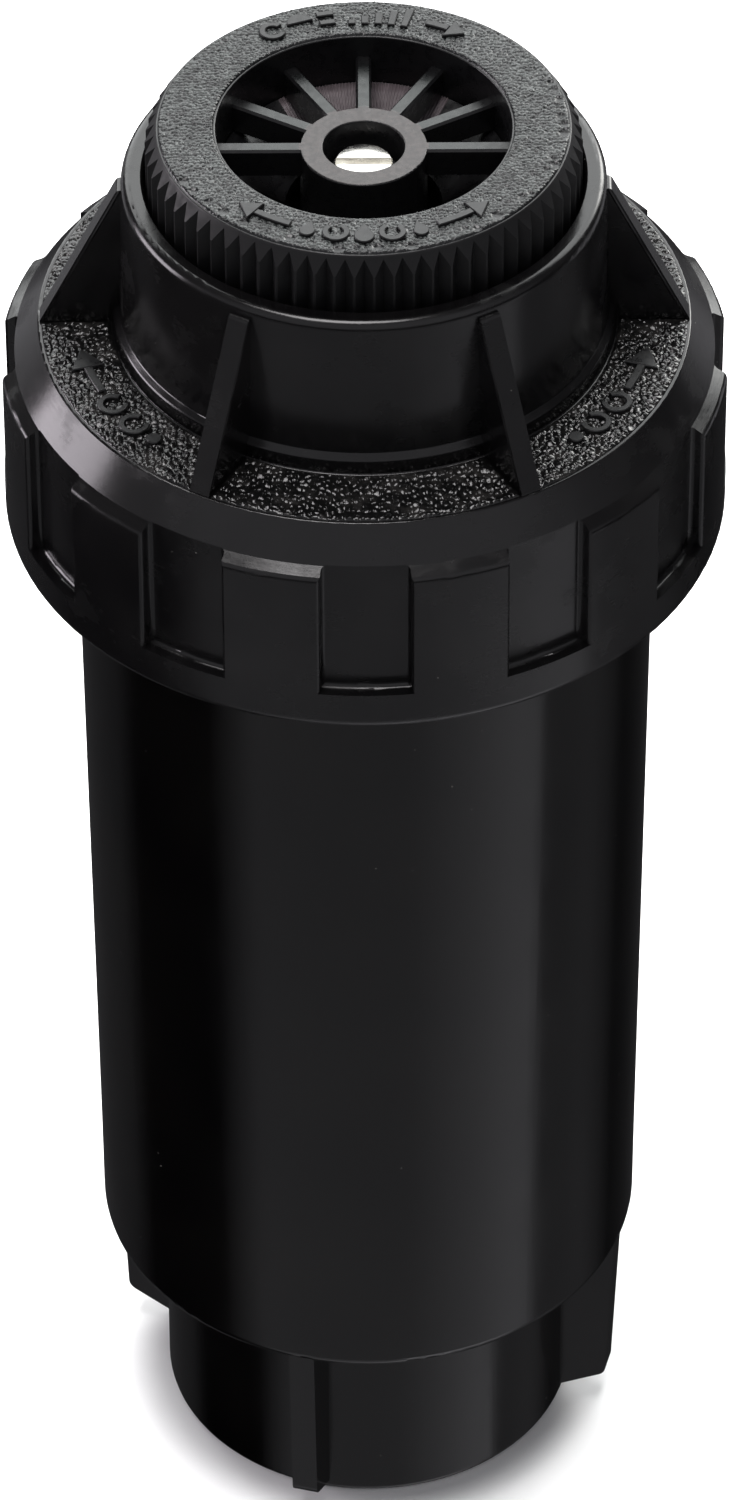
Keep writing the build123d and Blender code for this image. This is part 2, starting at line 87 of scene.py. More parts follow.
# ---------------------------------------------------------------- materials
class Look:
    """One procedural material. Textures are placed in millimetres on the object at rest."""

    def __init__(self, name, colour, roughness, ior=1.47, metallic=0.0):
        self.material = bpy.data.materials.new(name)
        self.material.use_nodes = True
        self.tree = self.material.node_tree
        self.tree.nodes.clear()
        output = self.tree.nodes.new("ShaderNodeOutputMaterial")
        self.shader = self.tree.nodes.new("ShaderNodeBsdfPrincipled")
        self.join(self.shader.outputs["BSDF"], output.inputs["Surface"])
        self.shader.inputs["Base Color"].default_value = (*colour, 1)
        self.shader.inputs["Roughness"].default_value = roughness
        self.shader.inputs["IOR"].default_value = ior
        self.shader.inputs["Metallic"].default_value = metallic
        place = self.tree.nodes.new("ShaderNodeTexCoord").outputs["Object"]
        self.place = self.vector("SCALE", place, scale=1 / MM)
        split = self.tree.nodes.new("ShaderNodeSeparateXYZ")
        self.join(self.place, split.inputs[0])
        self.x, self.y, self.z = split.outputs
        self.colour = None
        self.normal = None

    def join(self, source, target):
        """Links a socket, sets a plain value, or leaves the target alone when source is None."""
        if isinstance(source, bpy.types.NodeSocket):
            self.tree.links.new(source, target)
        elif source is not None:
            target.default_value = source

    def vector(self, operation, a, b=None, scale=None):
        node = self.tree.nodes.new("ShaderNodeVectorMath")
        node.operation = operation
        self.join(a, node.inputs[0])
        self.join(b, node.inputs[1])
        if scale is not None:
            node.inputs["Scale"].default_value = scale
        return node.outputs[0]

    def math(self, operation, a, b=None):
        node = self.tree.nodes.new("ShaderNodeMath")
        node.operation = operation
        self.join(a, node.inputs[0])
        self.join(b, node.inputs[1])
        return node.outputs[0]

    def fit(self, value, low, high, to_low=0.0, to_high=1.0):
        """value from low..high to to_low..to_high, eased and held at the ends."""
        node = self.tree.nodes.new("ShaderNodeMapRange")
        node.interpolation_type = "SMOOTHSTEP"
        self.join(value, node.inputs["Value"])
        limits = {"From Min": low, "From Max": high, "To Min": to_low, "To Max": to_high}
        for name, number in limits.items():
            node.inputs[name].default_value = number
        return node.outputs["Result"]

    def noise(self, size, detail, place=None, distortion=0.0):
        """Noise with lumps about size millimetres across."""
        node = self.tree.nodes.new("ShaderNodeTexNoise")
        self.join(place or self.place, node.inputs["Vector"])
        node.inputs["Scale"].default_value = 1 / size
        node.inputs["Detail"].default_value = detail
        node.inputs["Roughness"].default_value = 0.55
        node.inputs["Distortion"].default_value = distortion
        return node.outputs[0]

    def cells(self, size):
        """Distance to the nearest centre in a field of cells about size millimetres across."""
        node = self.tree.nodes.new("ShaderNodeTexVoronoi")
        self.join(self.place, node.inputs["Vector"])
        node.inputs["Scale"].default_value = 1 / size
        return node.outputs["Distance"]

    def stretched(self, x, y, z):
        """The place with each axis scaled, for streaks."""
        return self.vector("MULTIPLY", self.place, (x, y, z))

    def round_place(self, spread, z_share):
        """(angle round the axis in degrees x spread, radius, height x z_share), for round streaks."""
        angle = self.math("MULTIPLY", self.math("ARCTAN2", self.y, self.x), math.degrees(1) * spread)
        joined = self.tree.nodes.new("ShaderNodeCombineXYZ")
        self.join(angle, joined.inputs[0])
        self.join(self.radius(), joined.inputs[1])
        self.join(self.math("MULTIPLY", self.z, z_share), joined.inputs[2])
        return joined.outputs[0]

    def radius(self):
        """Millimetres from the axis."""
        flat = self.vector("MULTIPLY", self.place, (1, 1, 0))
        node = self.tree.nodes.new("ShaderNodeVectorMath")
        node.operation = "LENGTH"
        self.join(flat, node.inputs[0])
        return node.outputs["Value"]

    def facing_up(self):
        """1 where the surface faces up."""
        normal = self.tree.nodes.new("ShaderNodeNewGeometry").outputs["Normal"]
        parts = self.tree.nodes.new("ShaderNodeSeparateXYZ")
        self.join(normal, parts.inputs[0])
        return self.fit(parts.outputs[2], 0.85, 0.97)

    def mix(self, share, a, b):
        """Colour b over a by share."""
        node = self.tree.nodes.new("ShaderNodeMix")
        node.data_type = "RGBA"
        self.join(share, node.inputs[0])
        for colour, socket in ((a, node.inputs[6]), (b, node.inputs[7])):
            self.join((*colour, 1) if isinstance(colour, tuple) else colour, socket)
        return node.outputs[2]

    def tint(self, share, colour):
        """Lays colour over what is there by share."""
        below = self.colour or tuple(self.shader.inputs["Base Color"].default_value)[:3]
        self.colour = self.mix(share, below, colour)
        self.join(self.colour, self.shader.inputs["Base Color"])

    def gloss(self, value, low, high, to_low, to_high):
        """Roughness driven by value."""
        self.join(self.fit(value, low, high, to_low, to_high), self.shader.inputs["Roughness"])

    def relief(self, height, depth):
        """Adds bump; depth is the millimetres between height 0 and 1."""
        node = self.tree.nodes.new("ShaderNodeBump")
        node.inputs["Strength"].default_value = 1.0
        node.inputs["Distance"].default_value = depth * MM
        self.join(height, node.inputs["Height"])
        self.join(self.normal, node.inputs["Normal"])
        self.normal = node.outputs["Normal"]
        self.join(self.normal, self.shader.inputs["Normal"])


def add_dust(look, amount):
    """Sparse pale specks of dust on a dark moulding."""
    specks = look.fit(look.cells(1.7), 0.035, 0.02)
    patches = look.fit(look.noise(9.0, 2), 0.5, 0.62)
    share = look.math("MULTIPLY", look.math("MULTIPLY", specks, patches), amount)
    look.tint(share, (0.35, 0.34, 0.31))


def can_plastic():
    """Black moulded plastic with a soft gloss and faint drag lines along the draw."""
    look = Look("can_plastic", (0.0008, 0.0007, 0.0008), 0.16)
    look.tint(look.fit(look.noise(14.0, 3), 0.35, 0.7), (0.0016, 0.0014, 0.0013))
    drag = look.noise(1.0, 3, place=look.stretched(2.2, 2.2, 0.05))
    mottle = look.noise(6.0, 4)
    look.gloss(look.math("ADD", look.math("MULTIPLY", drag, 0.4), look.math("MULTIPLY", mottle, 0.6)),
               0.3, 0.7, 0.11, 0.2)
    look.relief(drag, 0.003)
    look.relief(look.noise(0.5, 3), 0.002)
    add_dust(look, 0.5)
    return look.material


def cap_plastic():
    """Black moulded plastic, smooth, with rubbed streaks round the shoulder."""
    look = Look("cap_plastic", (0.0026, 0.0024, 0.0027), 0.26)
    look.tint(look.fit(look.noise(8.0, 3), 0.4, 0.7), (0.0045, 0.0042, 0.0044))
    streaks = look.noise(1.0, 3, place=look.round_place(0.35, 6.0))
    scuffed = look.fit(look.noise(5.0, 4), 0.45, 0.7)
    look.gloss(look.math("ADD", look.math("MULTIPLY", streaks, 0.5), look.math("MULTIPLY", scuffed, 0.5)),
               0.2, 0.8, 0.18, 0.36)
    look.relief(streaks, 0.004)
    look.relief(look.noise(0.35, 3), 0.003)
    add_dust(look, 0.6)
    return look.material


def pebble_plastic():
    """The cap's plastic over coarse pebbles: shiny tops."""
    look = Look("pebble_plastic", (0.004, 0.004, 0.004), 0.2)
    look.tint(look.fit(look.noise(1.4, 3), 0.45, 0.7), (0.022, 0.021, 0.02))
    look.gloss(look.noise(0.8, 3), 0.35, 0.7, 0.09, 0.2)
    look.relief(look.noise(0.14, 3), 0.014)
    return look.material


def nozzle_plastic():
    """Dark nozzle plastic: brushed hub whose top face carries a painted sheen with wear, greenish spoke
    tops with painted shade near the ring, smooth walls and a dull fluted grip.
    """
    look = Look("nozzle_plastic", (0.006, 0.006, 0.0065), 0.34)
    radius = look.radius()
    up = look.facing_up()
    level = look.math("MULTIPLY", look.fit(look.z, hub_top - 0.25, hub_top - 0.1), up)
    below_ring = look.fit(look.z, hub_top + 0.3, hub_top + 0.2)
    hub_face = look.math("MULTIPLY", level, below_ring)
    on_hub = look.math("MULTIPLY", hub_face, look.fit(radius, hub_radius + 0.15, hub_radius + 0.05))
    on_spoke = look.math("MULTIPLY", hub_face, look.fit(radius, hub_radius + 0.05, hub_radius + 0.15))

    # Painted sheen: the hub's top face is tinted a paler, mottled pinkish-brown. This stands in for its
    # highlight as well as for wear.
    hub_sheen_and_wear = look.fit(look.noise(0.35, 3), 0.35, 0.7, 0.5, 1.0)
    look.tint(look.math("MULTIPLY", on_hub, hub_sheen_and_wear), (0.065, 0.054, 0.052))
    # Painted shade: the greenish tone of the spoke tops fades out towards the ring, where the ring's
    # shadow falls.
    clear_of_ring_shade = look.fit(radius, wheel_bore - 0.3, wheel_bore - 3.0)
    look.tint(look.math("MULTIPLY", look.math("MULTIPLY", on_spoke, clear_of_ring_shade), 0.9), (0.02, 0.025, 0.024))

    brushing = look.noise(0.3, 2, place=look.stretched(1.0, 0.12, 1.0))
    worn = look.fit(look.noise(0.6, 3), 0.3, 0.7, 0.24, 0.38)
    grip = look.fit(radius, wheel_face_outer - 0.05, wheel_face_outer + 0.1, 0.0, 0.2)
    look.join(look.math("ADD", worn, grip), look.shader.inputs["Roughness"])
    sheen = look.fit(radius, wheel_face_outer - 0.05, wheel_face_outer + 0.1, 0.5, 0.26)
    look.join(sheen, look.shader.inputs["Specular IOR Level"])
    look.relief(look.math("MULTIPLY", brushing, on_hub), 0.014)
    look.relief(look.noise(0.4, 3), 0.004)
    return look.material


def sandy_plastic():
    """The nozzle's plastic over fine sandy grain, with a painted highlight making the tips paler."""
    look = Look("sandy_plastic", (0.006, 0.0065, 0.007), 0.28)
    # Painted highlight: the tips of the grain are tinted paler, standing in for their glints.
    tip_glint = look.fit(look.z, wheel_top + 0.11, wheel_top + 0.19)
    look.tint(look.math("MULTIPLY", tip_glint, look.fit(look.noise(0.9, 3), 0.3, 0.65)), (0.07, 0.078, 0.075))
    look.gloss(look.noise(0.5, 3), 0.3, 0.7, 0.2, 0.36)
    look.relief(look.noise(0.12, 2), 0.012)
    return look.material


def mark_plastic():
    """Smooth raised marks."""
    look = Look("mark_plastic", (0.004, 0.004, 0.0045), 0.3)
    look.tint(look.fit(look.noise(0.8, 3), 0.4, 0.7), (0.009, 0.009, 0.009))
    look.gloss(look.noise(0.5, 3), 0.3, 0.7, 0.26, 0.4)
    look.relief(look.noise(0.2, 3), 0.005)
    return look.material


def spray_plastic():
    """Reddish grey moulded spray floor."""
    look = Look("spray_plastic", (0.13, 0.108, 0.115), 0.34)
    look.tint(look.fit(look.noise(0.7, 3), 0.4, 0.7), (0.19, 0.16, 0.17))
    look.gloss(look.noise(0.3, 2), 0.3, 0.7, 0.3, 0.45)
    look.relief(look.noise(0.1, 2), 0.004)
    return look.material


def riser_plastic():
    """Polished black tube with fine rings from turning."""
    look = Look("riser_plastic", (0.006, 0.006, 0.0065), 0.2)
    look.tint(look.fit(look.noise(6.0, 3), 0.4, 0.7), (0.009, 0.009, 0.0095))
    rings = look.noise(1.0, 3, place=look.stretched(0.1, 0.1, 3.0))
    look.gloss(rings, 0.3, 0.7, 0.16, 0.3)
    look.relief(rings, 0.003)
    add_dust(look, 0.3)
    return look.material


def pale_moulding(name, light, shade, roughness):
    """Pale natural plastic with faint flow marks."""
    look = Look(name, light, roughness)
    flow = look.noise(5.0, 4, distortion=1.5)
    look.tint(look.fit(flow, 0.35, 0.65), shade)
    look.gloss(look.noise(1.2, 3), 0.3, 0.7, roughness - 0.06, roughness + 0.08)
    look.relief(look.noise(0.4, 3), 0.006)
    look.shader.inputs["Subsurface Weight"].default_value = 0.15
    look.shader.inputs["Subsurface Scale"].default_value = 0.8 * MM
    return look.material


def filter_plastic():
    """Satin dark grey moulding."""
    look = Look("filter_plastic", (0.04, 0.04, 0.045), 0.45)
    look.tint(look.fit(look.noise(2.5, 3), 0.4, 0.7), (0.055, 0.055, 0.06))
    look.gloss(look.noise(0.6, 3), 0.3, 0.7, 0.38, 0.52)
    look.relief(look.noise(0.25, 3), 0.008)
    return look.material


def seal_rubber():
    """Soft black elastomer with a matt bloom."""
    look = Look("seal_rubber", (0.015, 0.015, 0.015), 0.6, ior=1.5)
    look.tint(look.fit(look.noise(1.8, 4), 0.45, 0.7), (0.026, 0.026, 0.027))
    look.gloss(look.noise(0.5, 3), 0.3, 0.7, 0.5, 0.72)
    look.relief(look.noise(0.15, 3), 0.01)
    return look.material


def drawn_steel(name, colour, shade, roughness, streak):
    """Bare stainless steel with marks along its streak direction."""
    look = Look(name, colour, roughness, metallic=1.0)
    marks = look.noise(0.5, 4, place=look.stretched(*streak))
    look.tint(look.fit(marks, 0.35, 0.7), shade)
    look.gloss(marks, 0.3, 0.7, roughness - 0.05, roughness + 0.1)
    look.relief(marks, 0.004)
    return look.material


def floor_paper():
    """Plain pale studio paper."""
    look = Look("floor_paper", (0.86, 0.86, 0.86), 0.85)
    look.tint(look.fit(look.noise(40.0, 2), 0.3, 0.7), (0.885, 0.885, 0.885))
    look.relief(look.noise(1.2, 3), 0.02)
    return look.material


looks = {
    "can_plastic": can_plastic(),
    "cap_plastic": cap_plastic(),
    "pebble_plastic": pebble_plastic(),
    "nozzle_plastic": nozzle_plastic(),
    "sandy_plastic": sandy_plastic(),
    "mark_plastic": mark_plastic(),
    "spray_plastic": spray_plastic(),
    "riser_plastic": riser_plastic(),
    "guide_plastic": pale_moulding("guide_plastic", (0.66, 0.66, 0.63), (0.58, 0.58, 0.55), 0.38),
    "filter_plastic": filter_plastic(),
    "screen_plastic": pale_moulding("screen_plastic", (0.76, 0.76, 0.73), (0.68, 0.68, 0.64), 0.45),
    "seal_rubber": seal_rubber(),
    "spring_steel": drawn_steel("spring_steel", (0.6, 0.6, 0.6), (0.5, 0.5, 0.51), 0.24, (1, 1, 3)),
    "screw_steel": drawn_steel("screw_steel", (0.78, 0.77, 0.74), (0.6, 0.58, 0.54), 0.16, (0.3, 3, 1)),
}
for node in nodes.values():
    for index, old in enumerate(node.data.materials):
        node.data.materials[index] = looks[old.name.split(".")[0]]


# ---------------------------------------------------------------- meshes
def new_piece(name, points, faces, body, look, smooth=True):
    """A mesh piece that rides on a body."""
    mesh = bpy.data.meshes.new(name)
    mesh.from_pydata([tuple(point) for point in points], [], faces)
    mesh.validate()
    mesh.update()
    mesh.polygons.foreach_set("use_smooth", [smooth] * len(mesh.polygons))
    mesh.materials.append(looks[look])
    piece = bpy.data.objects.new(name, mesh)
    bpy.context.scene.collection.objects.link(piece)
    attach(piece, body)
    return piece


def slab(top, under, closed=False):
    """Points and faces of a solid plate: a grid of top points (rows, columns, 3) over a flat base.

    The base is at height under. Rows run outwards and columns run anticlockwise; a closed plate's
    last column meets its first.
    """
    rows, columns = top.shape[:2]
    here = np.arange(columns if closed else columns - 1)
    ahead = (here + 1) % columns
    near = top[0].copy()
    far = top[-1].copy()
    near[:, 2] = under
    far[:, 2] = under
    low_near = rows * columns
    low_far = low_near + columns
    top_far = (rows - 1) * columns
    strips = [(row * columns, (row + 1) * columns) for row in range(rows - 1)]
    strips += [(low_near, 0), (top_far, low_far), (low_far, low_near)]
    faces = []
    for a, b in strips:
        quads = np.stack([a + here, b + here, b + ahead, a + ahead], 1)
        faces += [tuple(quad) for quad in quads.tolist()]
    if not closed:
        left = [row * columns for row in range(rows)]
        right = [start + columns - 1 for start in left]
        faces.append((low_far, *left[::-1], low_near))
        faces.append((low_near + columns - 1, *right, low_far + columns - 1))
    return np.concatenate([top.reshape(-1, 3), near, far]), faces


def nearest_cells(x, y, size, seed):
    """Distances to the nearest and second nearest jittered cell centre, and a tilted height, in cells."""
    field = 60  # millimetres across, more than any ring here
    reach = int(field / size) + 4
    random = np.random.default_rng(seed)
    jitter = random.uniform(0.12, 0.88, (reach, reach, 2))
    tilt = random.uniform(-1, 1, (reach, reach, 2))
    across = x / size + reach / 2
    along = y / size + reach / 2
    column = np.floor(across).astype(int)
    row = np.floor(along).astype(int)
    nearest = np.full(x.shape, 9.0)
    second = np.full(x.shape, 9.0)
    slope = np.zeros(x.shape)
    for dx in (-1, 0, 1):
        for dy in (-1, 0, 1):
            centre = jitter[column + dx, row + dy]
            lean = tilt[column + dx, row + dy]
            right = across - column - dx - centre[..., 0]
            ahead = along - row - dy - centre[..., 1]
            distance = np.hypot(right, ahead)
            slope = np.where(distance < nearest, right * lean[..., 0] + ahead * lean[..., 1], slope)
            second = np.minimum(second, np.maximum(nearest, distance))
            nearest = np.minimum(nearest, distance)
    return nearest, second, slope


def joined(parts):
    """One point array and face list from several."""
    points = []
    faces = []
    start = 0
    for part_points, part_faces in parts:
        points.append(part_points)
        faces += [tuple(v + start for v in face) for face in part_faces]
        start += len(part_points)
    return np.concatenate(points), faces


def pebbles(x, y, size, height, seed, crease_width, lean):
    """Heights of close-packed grains, each with its own lean, and creases between them."""
    nearest, second, slope = nearest_cells(x, y, size, seed)
    crease = np.clip((second - nearest) / crease_width, 0, 1)
    crown = np.clip(1 - 0.5 * nearest * nearest, 0, 1)
    return np.sqrt(crease) * (height * crown + size * lean * slope)


def pebbled_ring():
    """Coarse pebbles on the cap's flat ring, in six plates between the gussets."""
    mesh_step = 0.085
    sink = 0.06
    clear_of_ring_shade = 0.25
    radii = np.arange(pebble_inner, pebble_outer + mesh_step / 2, mesh_step)[:, None]
    gap = np.degrees(np.arcsin((gusset_half + 0.03) / radii))
    sector = 360 / gusset_count
    share = np.linspace(0, 1, int(math.radians(sector) * pebble_outer / mesh_step))[None, :]
    parts = []
    for index in range(gusset_count):
        angles = np.radians(index * sector + gap + share * (sector - 2 * gap))
        x = radii * np.cos(angles)
        y = radii * np.sin(angles)
        inside = np.minimum(radii - pebble_inner, pebble_outer - radii)
        beside = np.minimum(share, 1 - share) * math.radians(sector) * pebble_outer
        edge = np.minimum(inside, beside)
        lumps = pebbles(x, y, size=0.46, height=0.17, seed=5, crease_width=0.17, lean=0.4)
        height = 0.012 + lumps * np.clip(edge / clear_of_ring_shade, 0, 1)
        height[edge <= 1e-6] = tucked_edge
        parts.append(slab(np.stack([x, y, cap_face + height], 2), cap_face - sink))
    points, faces = joined(parts)
    return new_piece("cap_pebbled_ring", points * MM, faces, "cap", "pebble_plastic")


def sandy_ring():
    """Fine sandy grain on top of the nozzle's ring, with shallow dents near its outer edge."""
    mesh_step = 0.075
    inner, outer = wheel_bore + 0.12, wheel_face_outer - 0.1
    sink = 0.05
    radii = np.arange(inner, outer + mesh_step / 2, mesh_step)[:, None]
    angles = np.arange(0, math.tau, mesh_step / outer)[None, :]
    x = radii * np.cos(angles)
    y = radii * np.sin(angles)
    base = 0.07
    height = base + pebbles(x, y, size=0.3, height=0.1, seed=11, crease_width=0.3, lean=0.4)
    random = np.random.default_rng(3)
    dents = 26
    for _ in range(dents):
        turn = math.radians(random.uniform(-170, 25))
        out = outer - random.uniform(0.25, 0.8)
        size = random.uniform(0.22, 0.5)
        far = np.hypot(x - out * math.cos(turn), y - out * math.sin(turn)) / size
        height = height * np.clip(far * far * 0.9, 0.1, 1)
    edge = np.minimum(radii - inner, outer - radii) * np.ones_like(x)
    height = 0.008 + height * np.clip(edge / 0.15, 0, 1)
    height[edge <= 1e-6] = tucked_edge
    top = np.stack([x, y, wheel_top + height], 2)
    points, faces = slab(top, wheel_top - sink, closed=True)
    return new_piece("nozzle_sandy_ring", points * MM, faces, "nozzle", "sandy_plastic")


def raised(outline, low, high, bevel=0.06):
    """Points and faces of a flat raised shape from an anticlockwise outline, with a bevelled top edge."""
    outline = np.array(outline, float)
    ahead = np.roll(outline, -1, 0) - outline
    ahead /= np.linalg.norm(ahead, axis=1)[:, None]
    inward = np.stack([-ahead[:, 1], ahead[:, 0]], 1)
    before = np.roll(inward, 1, 0)
    miter = (inward + before) / (1 + np.sum(inward * before, 1))[:, None]
    count = len(outline)
    levels = [(outline, low), (outline, high - bevel), (outline + miter * bevel, high)]
    points = np.concatenate([np.column_stack([flat, np.full(count, z)]) for flat, z in levels])
    faces = [tuple(range(count))[::-1], tuple(range(2 * count, 3 * count))]
    for level in (0, count):
        for index in range(count):
            after = (index + 1) % count
            faces.append((level + index, level + after, level + count + after, level + count + index))
    return points, faces


def polar(radius, angle):
    return (radius * math.cos(math.radians(angle)), radius * math.sin(math.radians(angle)))


def arc_bar(middle, width, first, last):
    """Outline of a bar bent round the axis, from angle first up to angle last."""
    steps = max(2, int((last - first) / 2))
    angles = np.linspace(first, last, steps)
    outer = [polar(middle + width / 2, angle) for angle in angles]
    inner = [polar(middle - width / 2, angle) for angle in angles[::-1]]
    return outer[::-1] + inner[::-1]


def arrow_head(middle, width, base, tip):
    """Outline of an arrow head that points round the axis from angle base to angle tip."""
    corners = [polar(middle + width / 2, base), polar(middle - width / 2, base), polar(middle, tip)]
    return corners if tip > base else corners[::-1]


def disc(radius, angle, size, first=0, last=360):
    """Outline of a disc, or of a part of one between two angles, at a place on the ring."""
    centre = np.array(polar(radius, angle))
    steps = 28 if last - first >= 360 else 15
    angles = np.linspace(first, last, steps, endpoint=last - first < 360)
    return [tuple(centre + polar(size, turn)) for turn in angles]


def counter_clockwise(outline):
    x, y = np.array(outline).T
    area = np.sum(x * np.roll(y, -1) - np.roll(x, -1) * y)
    return outline if area > 0 else outline[::-1]


def marks(name, outlines, low, high, body, slot, look):
    """Plain raised signs on a flat ring."""
    points, faces = joined([raised(counter_clockwise(outline), low, high) for outline in outlines])
    return new_piece(name, points * MM, faces, body, look, smooth=False)


def open_ring(radius, angle, size, width, opening):
    """Outline of a ring at a place on the face, open towards one side over 60 degrees."""
    centre = np.array(polar(radius, angle))
    turns = np.linspace(opening + 30, opening + 330, 26)
    outer = [tuple(centre + polar(size, turn)) for turn in turns]
    inner = [tuple(centre + polar(size - width, turn)) for turn in turns[::-1]]
    return outer + inner


def drop(radius, angle, size):
    """Outline of a water drop at a place on the face, with its point towards the axis."""
    centre = np.array(polar(radius, angle))
    turns = np.linspace(angle - 130, angle + 130, 19)
    return [tuple(centre + polar(size, turn)) for turn in turns] + [polar(radius - 2.1 * size, angle)]


def nozzle_marks():
    """On the nozzle's ring: arrows, rings and drops in front; pattern signs, bars and an arrow behind."""
    middle = (wheel_bore + wheel_face_outer) / 2
    line = 0.55
    thin = line - 0.1
    bars = 5
    outlines = [
        arrow_head(middle, 2.0, 233, 226),
        arc_bar(middle, line, 233, 246),
        drop(middle + 0.3, 252, 0.55),
        open_ring(middle, 261, 0.95, thin, 90),
        drop(middle + 0.3, 270, 0.7),
        open_ring(middle, 279, 0.95, thin, 90),
        drop(middle + 0.3, 288, 0.55),
        arc_bar(middle, line, 294, 307),
        arrow_head(middle, 2.0, 307, 314),
        open_ring(middle, 121, 0.95, thin, 20),
        disc(middle, 111, 0.95, 21, 201),
        arc_bar(middle + 0.5, 0.5, 99.5, 105),
        arc_bar(middle - 0.5, 0.5, 99.5, 105),
    ]
    for index in range(bars):
        tall = 0.5 + 0.38 * index
        turn = 94 - 4.6 * index
        outlines.append(arc_bar(middle - 0.95 + tall / 2, tall, turn - 1.3, turn + 1.3))
    outlines.append(arc_bar(middle, line, 61, 69))
    outlines.append(arrow_head(middle, 2.0, 61, 55))
    low, high = wheel_top - mark_sink, wheel_top + 0.38
    return marks("nozzle_marks", outlines, low, high, "nozzle", "nozzle_plastic", "mark_plastic")


def cap_marks():
    """On the cap's pebbled ring: turning arrows, rings and dots."""
    middle = (pebble_inner + pebble_outer) / 2
    outlines = [
        arrow_head(middle, 2.4, 198, 192),
        arc_bar(middle, 0.6, 198, 206),
        open_ring(middle, 210.5, 1.1, 0.45, 30),
        open_ring(middle, 218, 1.1, 0.45, 30),
        disc(middle, 224, 0.55),
        disc(middle, 316, 0.55),
        open_ring(middle, 322, 1.1, 0.45, 150),
        open_ring(middle, 329.5, 1.1, 0.45, 150),
        arc_bar(middle, 0.6, 334, 342),
        arrow_head(middle, 2.4, 342, 348),
    ]
    low, high = cap_face - mark_sink, cap_face + 0.42
    return marks("cap_marks", outlines, low, high, "cap", "cap_plastic", "mark_plastic")


def spray_floor():
    """Fine radial teeth on the sloping spray floor behind the hub, as one closed plate."""
    teeth_pitch = 1.33
    columns_per_tooth = 6
    first, last = 54.0, 126.0
    inner, outer = hub_radius + 0.12, wheel_bore - 0.12
    foot_radius, foot_height = 5.4, 111.4
    rim_radius = wheel_bore - 0.08
    slope = (spray_rim - foot_height) / (rim_radius - foot_radius)
    angles = np.linspace(first, last, int((last - first) / teeth_pitch * columns_per_tooth) + 1)
    radii = np.linspace(inner, outer, 9)
    phase = np.abs((angles / teeth_pitch) % 1 - 0.5) * 2
    deep = 0.12 * radii / outer
    x = radii[:, None] * np.cos(np.radians(angles))[None, :]
    y = radii[:, None] * np.sin(np.radians(angles))[None, :]
    z = spray_rim + (radii - rim_radius)[:, None] * slope + 0.01 + deep[:, None] * phase[None, :]
    points, faces = slab(np.stack([x, y, z], 2), spray_rim - 3.4)
    return new_piece("nozzle_spray_teeth", points * MM, faces, "nozzle", "spray_plastic")


def rod(start, end, radius, sides=12):
    """Points and faces of a closed round rod between two points."""
    start = np.array(start, float)
    end = np.array(end, float)
    along = (end - start) / np.linalg.norm(end - start)
    across = np.cross(along, (0, 0, 1))
    across /= np.linalg.norm(across)
    above = np.cross(across, along)
    turns = np.arange(sides) * math.tau / sides
    section = radius * (np.cos(turns)[:, None] * across + np.sin(turns)[:, None] * above)
    faces = [tuple(range(sides))[::-1], tuple(range(sides, 2 * sides))]
    faces += [(i, (i + 1) % sides, sides + (i + 1) % sides, sides + i) for i in range(sides)]
    return np.concatenate([start + section, end + section]), faces


def gusset_beads():
    """Fine rounded beads along the two sloping edges of each gusset."""
    bead = 0.14
    buried = 0.09
    parts = []
    for index in range(gusset_count):
        turn = math.radians(index * 360 / gusset_count)
        out = np.array([math.cos(turn), math.sin(turn), 0])
        beside = np.array([-math.sin(turn), math.cos(turn), 0]) * (gusset_half - buried)
        low = out * (gusset_low_radius - 0.3) + np.array([0, 0, cap_face + 0.2])
        high = out * gusset_top_radius + np.array([0, 0, gusset_top - buried - 0.2])
        for side in (-1, 1):
            parts.append(rod(low + side * beside, high + side * beside, bead))
    points, faces = joined(parts)
    return new_piece("cap_gusset_beads", points * MM, faces, "cap", "cap_plastic")


pebbled_ring()
cap_marks()
gusset_beads()
sandy_ring()
nozzle_marks()
spray_floor()


# ---------------------------------------------------------------- spring
def spring_mesh():
    """The retract spring with closed, ground end coils."""
    sides = 14
    steps = 60
    end_coils = 1.0
    radius = spring_outer - spring_wire / 2
    low = spring_low + spring_wire / 2
    high = spring_high - spring_wire / 2
    closed_rise = spring_wire * 1.02
    turns = np.linspace(0, spring_coils, int(spring_coils * steps) + 1)
    open_turns = spring_coils - 2 * end_coils
    open_rise = high - low - 2 * closed_rise * end_coils
    height = low + np.interp(
        turns,
        [0, end_coils, end_coils + open_turns, spring_coils],
        [0, closed_rise * end_coils, closed_rise * end_coils + open_rise, high - low],
    )
    points = []
    for turn, z in zip(turns, height):
        angle = 2 * math.pi * turn
        for side in range(sides):
            round_wire = 2 * math.pi * side / sides
            out = radius + spring_wire / 2 * math.cos(round_wire)
            up = z + spring_wire / 2 * math.sin(round_wire)
            up = min(max(up, spring_low + 0.05), spring_high - 0.05)
            points.append((out * math.cos(angle) * MM, out * math.sin(angle) * MM, up * MM))
    faces = []
    for ring in range(len(turns) - 1):
        for side in range(sides):
            a = ring * sides + side
            b = ring * sides + (side + 1) % sides
            faces.append((a, b, b + sides, a + sides))
    last = (len(turns) - 1) * sides
    faces.append(tuple(range(sides))[::-1])
    faces.append(tuple(range(last, last + sides)))
    return new_piece("retract_spring_wire", points, faces, "seal_carrier", "spring_steel")


spring = spring_mesh()
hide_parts("retract_spring")
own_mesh(spring)


# ---------------------------------------------------------------- studio
def make_floor():
    size = 6.0
    mesh = bpy.data.meshes.new("floor")
    corners = [(-size, -size, 0), (size, -size, 0), (size, size, 0), (-size, size, 0)]
    mesh.from_pydata(corners, [], [(0, 1, 2, 3)])
    mesh.materials.append(floor_paper())
    floor = bpy.data.objects.new("floor", mesh)
    bpy.context.scene.collection.objects.link(floor)
    floor.visible_glossy = False
    return floor


